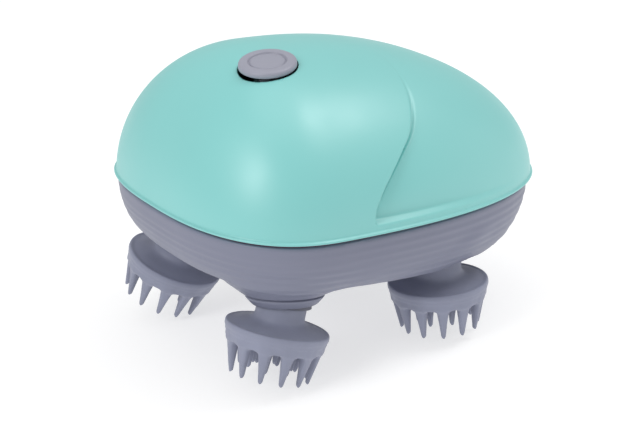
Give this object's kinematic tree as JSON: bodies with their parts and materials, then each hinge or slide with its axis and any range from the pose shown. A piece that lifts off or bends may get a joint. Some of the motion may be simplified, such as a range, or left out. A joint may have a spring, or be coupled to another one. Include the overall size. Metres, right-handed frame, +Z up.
{
  "type": "scalp massager",
  "caption": "Palm-sized rechargeable scalp massager: an egg-shaped two-shell body on geared, splayed claw heads of soft pointed teeth.",
  "frame": {"origin": "centre of the body's box at the height of the lowest tooth tips, which it stands on", "axes": "+X towards the narrow end of the body, +Z up through the dome"},
  "size_m": [0.1147, 0.096, 0.085],
  "materials": {
    "mint_shell": "satin, fine texture",
    "grey_shell": "satin, moulded ribs",
    "gasket_dark": "matte",
    "button_grey": "satin",
    "steel": "ground",
    "circuit_green": "solder mask",
    "black_plastic": "fine texture",
    "led_white": "clear",
    "white_nylon": "satin",
    "motor_steel": "zinc plated",
    "bronze": "sintered",
    "cell_wrap": "shrink film",
    "contact_nickel": "nickel plated",
    "claw_silicone": "soft matte",
    "hub_grey": "satin"
  },
  "bodies": {
    "base": {"top_shell": "mint_shell", "lower_shell": "grey_shell", "seam_gasket": "gasket_dark", "button_spring": "steel", "switch_board": "circuit_green", "tact_switch": "black_plastic", "status_led": "led_white", "drive_axle": "steel", "idler_axle": "steel", "gearbox_cover": "white_nylon", "motor_can": "motor_steel", "battery_cell": "cell_wrap", "battery_holder": "black_plastic", "battery_contacts": "contact_nickel", "circuit_board": "circuit_green", "charge_socket": "steel", "charge_board": "circuit_green", "case_screws": "steel", "cover_screws": "steel", "board_screws": "steel", "motor_screws": "steel", "holder_screws": "steel", "shaft_bush_1": "bronze", "shaft_seal_1": "gasket_dark", "shaft_bush_2": "bronze", "shaft_seal_2": "gasket_dark", "shaft_bush_3": "bronze", "shaft_seal_3": "gasket_dark", "shaft_bush_4": "bronze", "shaft_seal_4": "gasket_dark"},
    "drive": {"drive_gear": "white_nylon"},
    "idler": {"idler_gear": "white_nylon"},
    "rotor": {"motor_shaft": "steel", "motor_pinion": "bronze"},
    "button": {"button_cap": "button_grey", "button_clip": "steel"},
    "plug": {"port_plug": "claw_silicone"},
    "spindle_1": {"head_gear_1": "white_nylon", "output_shaft_1": "steel", "head_hub_1": "hub_grey"},
    "claw_1": {"claw_head_1": "claw_silicone"},
    "spindle_2": {"head_gear_2": "white_nylon", "output_shaft_2": "steel", "head_hub_2": "hub_grey"},
    "claw_2": {"claw_head_2": "claw_silicone"},
    "spindle_3": {"head_gear_3": "white_nylon", "output_shaft_3": "steel", "head_hub_3": "hub_grey"},
    "claw_3": {"claw_head_3": "claw_silicone"},
    "spindle_4": {"head_gear_4": "white_nylon", "output_shaft_4": "steel", "head_hub_4": "hub_grey"},
    "claw_4": {"claw_head_4": "claw_silicone"}
  },
  "joints": [
    {"name": "drive_gear_spin", "type": "hinge", "parent": "base", "child": "drive", "pos_m": [-0.01003, 0, 0.0324], "axis": [0, 0, 1], "continuous": true},
    {"name": "idler_gear_spin", "type": "hinge", "parent": "base", "child": "idler", "pos_m": [0.01597, 0, 0.03755], "axis": [0, 0, 1], "continuous": true},
    {"name": "motor_spin", "type": "hinge", "parent": "base", "child": "rotor", "pos_m": [0.00123, 0.01032, 0.04839], "axis": [0, 0, 1], "continuous": true},
    {"name": "head_spin_1", "type": "hinge", "parent": "base", "child": "spindle_1", "pos_m": [-0.03443, 0.02728, 0.02599], "axis": [0.1499, -0.1677, 0.9744], "continuous": true},
    {"name": "claw_pull_1", "type": "slide", "parent": "spindle_1", "child": "claw_1", "axis": [-0.3034, 0.2798, -0.9109], "range_m": [0, 0.011]},
    {"name": "head_spin_2", "type": "hinge", "parent": "base", "child": "spindle_2", "pos_m": [-0.03443, -0.02728, 0.02599], "axis": [0.1499, 0.1677, 0.9744], "continuous": true},
    {"name": "claw_pull_2", "type": "slide", "parent": "spindle_2", "child": "claw_2", "axis": [-0.3056, -0.0437, -0.9512], "range_m": [0, 0.011]},
    {"name": "head_spin_3", "type": "hinge", "parent": "base", "child": "spindle_3", "pos_m": [0.01437, -0.02728, 0.02599], "axis": [-0.1499, 0.1677, 0.9744], "continuous": true},
    {"name": "claw_pull_3", "type": "slide", "parent": "spindle_3", "child": "claw_3", "axis": [-0.0096, -0.0489, -0.9988], "range_m": [0, 0.011]},
    {"name": "head_spin_4", "type": "hinge", "parent": "base", "child": "spindle_4", "pos_m": [0.01437, 0.02728, 0.02599], "axis": [-0.1499, -0.1677, 0.9744], "continuous": true},
    {"name": "claw_pull_4", "type": "slide", "parent": "spindle_4", "child": "claw_4", "axis": [-0.0118, 0.285, -0.9585], "range_m": [0, 0.011]},
    {"name": "button_press", "type": "slide", "parent": "base", "child": "button", "axis": [0.0866, 0.137, -0.9868], "range_m": [0, 0.0005], "stiffness_N_per_m": 1500, "springref_m": -0.0004, "deforming": ["button_spring"]},
    {"name": "port_plug_pull", "type": "slide", "parent": "base", "child": "plug", "axis": [0.9969, 0, -0.0785], "range_m": [0, 0.008]}
  ],
  "couplings": [
    {"joint": "idler_gear_spin", "follows": "drive_gear_spin", "ratio": -3.3333},
    {"joint": "motor_spin", "follows": "drive_gear_spin", "ratio": 13.333},
    {"joint": "head_spin_1", "follows": "drive_gear_spin", "ratio": -2.625},
    {"joint": "head_spin_2", "follows": "drive_gear_spin", "ratio": -2.625},
    {"joint": "head_spin_3", "follows": "drive_gear_spin", "ratio": -2.625},
    {"joint": "head_spin_4", "follows": "drive_gear_spin", "ratio": -2.625}
  ]
}
